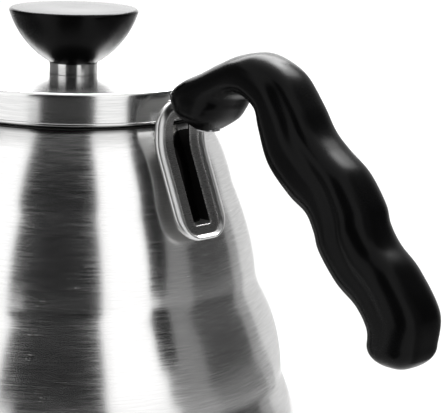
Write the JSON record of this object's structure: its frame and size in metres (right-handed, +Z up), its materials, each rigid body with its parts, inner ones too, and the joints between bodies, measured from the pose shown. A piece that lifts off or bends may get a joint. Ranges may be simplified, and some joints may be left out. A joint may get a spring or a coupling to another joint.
{
  "type": "gooseneck kettle",
  "caption": "Stepped bell-shaped steel kettle with a lift-off lid, a bowl-shaped knob, a slim curved pouring spout and a wavy black grip on a slotted bracket.",
  "frame": {"origin": "on the table, on the body's axis", "axes": "+Z up, +X from the body's axis towards the grip, -X towards the spout, Y across the width"},
  "size_m": [0.27, 0.144, 0.1468],
  "materials": {
    "brushed_body": "brushed round the body, satin",
    "brushed_lid": "fine circular brushing, satin",
    "spout_steel": "satin, brushed along the tube",
    "polished_trim": "polished stainless steel",
    "fastener_steel": "plain machined",
    "spreader": "plain",
    "insert_brass": "knurled, plain",
    "black_moulding": "satin moulded phenolic, fine grain"
  },
  "bodies": {
    "kettle": {"body_shell": "brushed_body", "body_floor": "brushed_body", "mouth_ring": "polished_trim", "base_core": "spreader", "base_cap": "brushed_body", "spout_neck": "spout_steel", "spout_collar": "spout_steel", "handle_bracket": "polished_trim", "handle_grip": "black_moulding", "handle_insert": "insert_brass", "handle_washer": "fastener_steel", "handle_screw": "fastener_steel"},
    "lid": {"lid_cover": "brushed_lid", "lid_collar": "polished_trim", "knob_stem": "polished_trim", "knob": "black_moulding", "knob_insert": "insert_brass", "knob_washer": "fastener_steel", "knob_screw": "fastener_steel"}
  },
  "joints": [
    {"name": "lid_lift", "type": "slide", "parent": "kettle", "child": "lid", "axis": [0, 0, 1], "range_m": [0, 0.04]}
  ]
}
